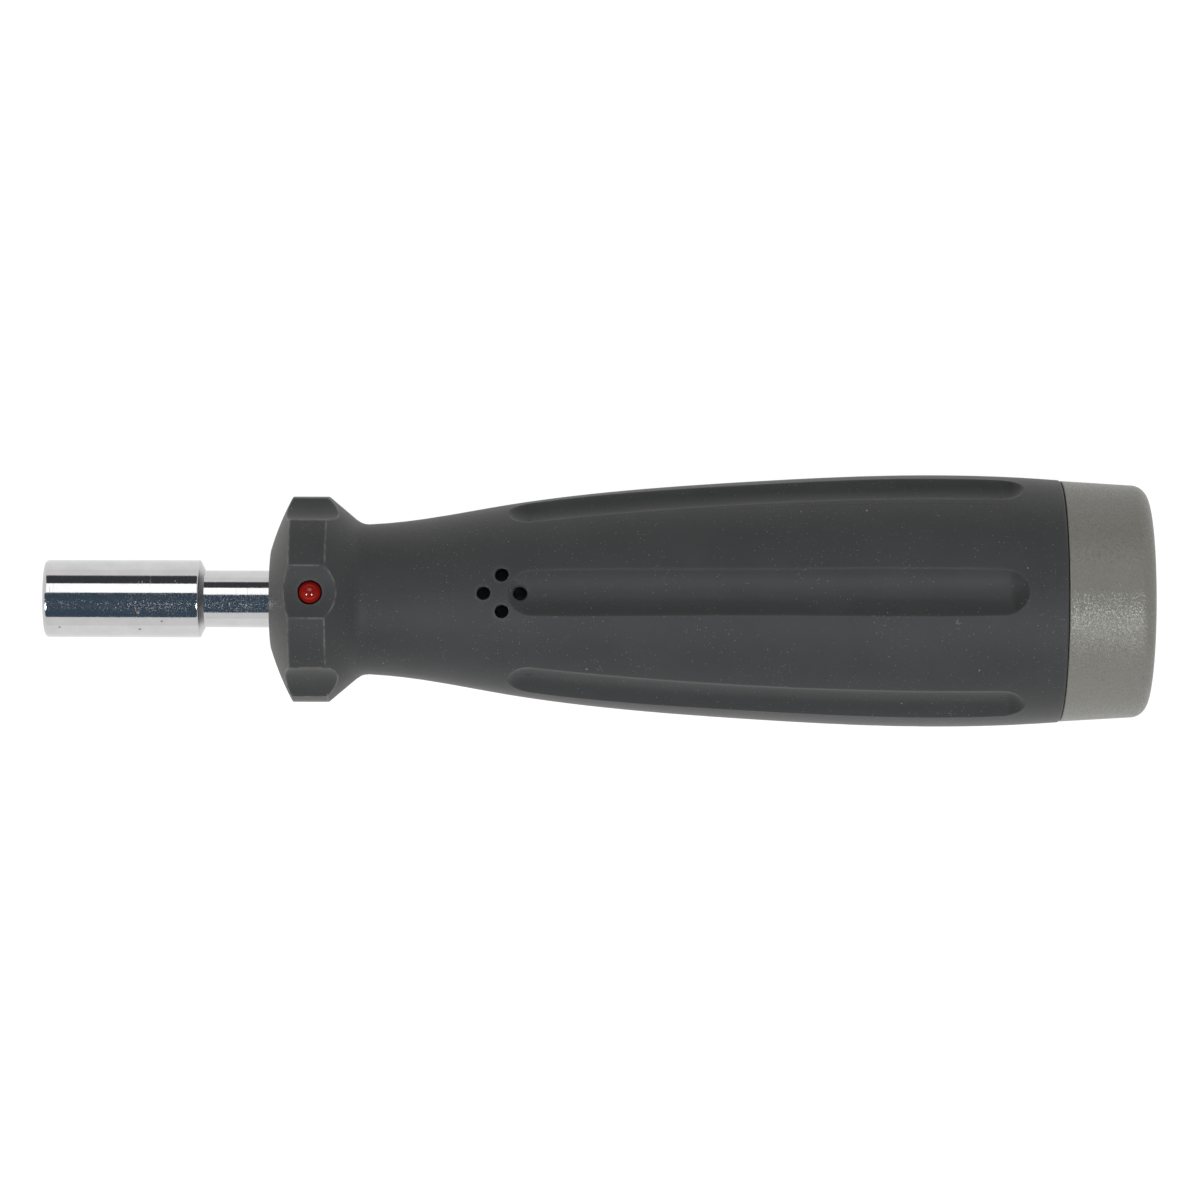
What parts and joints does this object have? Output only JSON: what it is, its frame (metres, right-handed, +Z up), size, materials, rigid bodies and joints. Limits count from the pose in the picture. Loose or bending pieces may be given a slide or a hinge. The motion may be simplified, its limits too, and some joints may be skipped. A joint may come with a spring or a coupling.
{
  "type": "torque screwdriver",
  "caption": "Digital torque screwdriver: hexagon bit holder, scalloped and fluted rubber grip, warning light, display with buttons, screw-on battery cap.",
  "frame": {"origin": "centre of the bounding box's base: on the surface that the tool lies on, half way along it, below its axis", "axes": "+X along the tool from the bit socket to the end cap, +Z up, through the warning light"},
  "size_m": [0.15, 0.0342, 0.0339],
  "materials": {
    "chrome": "bright plated",
    "steel": "ground",
    "magnet": "satin",
    "bronze": "sintered",
    "rubber": "matt, slightly dusty",
    "seal_rubber": "smooth",
    "red_lens": "clear red epoxy",
    "core_plastic": "moulded",
    "cap_paint": "satin grey with fine pearl",
    "anchor_metal": "machined",
    "cell_case": "printed wrap",
    "sounder_case": "moulded",
    "board": "solder mask",
    "chip": "moulded",
    "gauge_foil": "film",
    "display_glass": "reflective",
    "window": "clear",
    "bezel_plastic": "satin",
    "button_rubber": "soft touch",
    "contact_spring": "plated",
    "ring_plastic": "moulded",
    "carrier_plastic": "moulded"
  },
  "bodies": {
    "handle": {"bit_holder": "chrome", "output_shaft": "chrome", "bit_magnet": "magnet", "bit_retaining_ring": "steel", "strain_gauges": "gauge_foil", "shaft_seal": "seal_rubber", "front_bush": "bronze", "shaft_clip": "steel", "sensor_anchor": "anchor_metal", "rubber_grip": "rubber", "core_upper": "core_plastic", "core_lower": "core_plastic", "core_screws": "steel", "warning_led": "red_lens", "sounder": "sounder_case", "circuit_board": "board", "control_chip": "chip", "amplifier_chip": "chip", "display_module": "display_glass", "display_window": "window", "display_bezel": "bezel_plastic", "button_switches": "chip", "battery_left": "cell_case", "battery_right": "cell_case", "battery_cradle": "core_plastic", "front_contacts": "contact_spring", "rear_ring": "ring_plastic", "cap_seal": "seal_rubber"},
    "carrier": {"contact_carrier": "carrier_plastic", "bridge_contact": "contact_spring"},
    "cap": {"end_cap": "cap_paint", "carrier_screw": "steel"},
    "power_button": {"power_button": "button_rubber"},
    "mode_button": {"mode_button": "button_rubber"},
    "up_button": {"up_button": "button_rubber"},
    "down_button": {"down_button": "button_rubber"}
  },
  "joints": [
    {"name": "carrier_slide", "type": "slide", "parent": "handle", "child": "carrier", "axis": [1, 0, 0], "range_m": [0, 0.00702]},
    {"name": "cap_turn", "type": "hinge", "parent": "carrier", "child": "cap", "pos_m": [0.0718, 0, 0.01703], "axis": [1, 0, 0], "range_deg": [0, 1260]},
    {"name": "power_press", "type": "slide", "parent": "handle", "child": "power_button", "axis": [0, 0, 1], "range_m": [0, 0.0005], "stiffness_N_per_m": 400},
    {"name": "mode_press", "type": "slide", "parent": "handle", "child": "mode_button", "axis": [0, 0, 1], "range_m": [0, 0.0005], "stiffness_N_per_m": 400},
    {"name": "up_press", "type": "slide", "parent": "handle", "child": "up_button", "axis": [0, 0, 1], "range_m": [0, 0.0005], "stiffness_N_per_m": 400},
    {"name": "down_press", "type": "slide", "parent": "handle", "child": "down_button", "axis": [0, 0, 1], "range_m": [0, 0.0005], "stiffness_N_per_m": 400}
  ],
  "couplings": [
    {"joint": "carrier_slide", "follows": "cap_turn", "m_per_rad": 0.00031831}
  ]
}
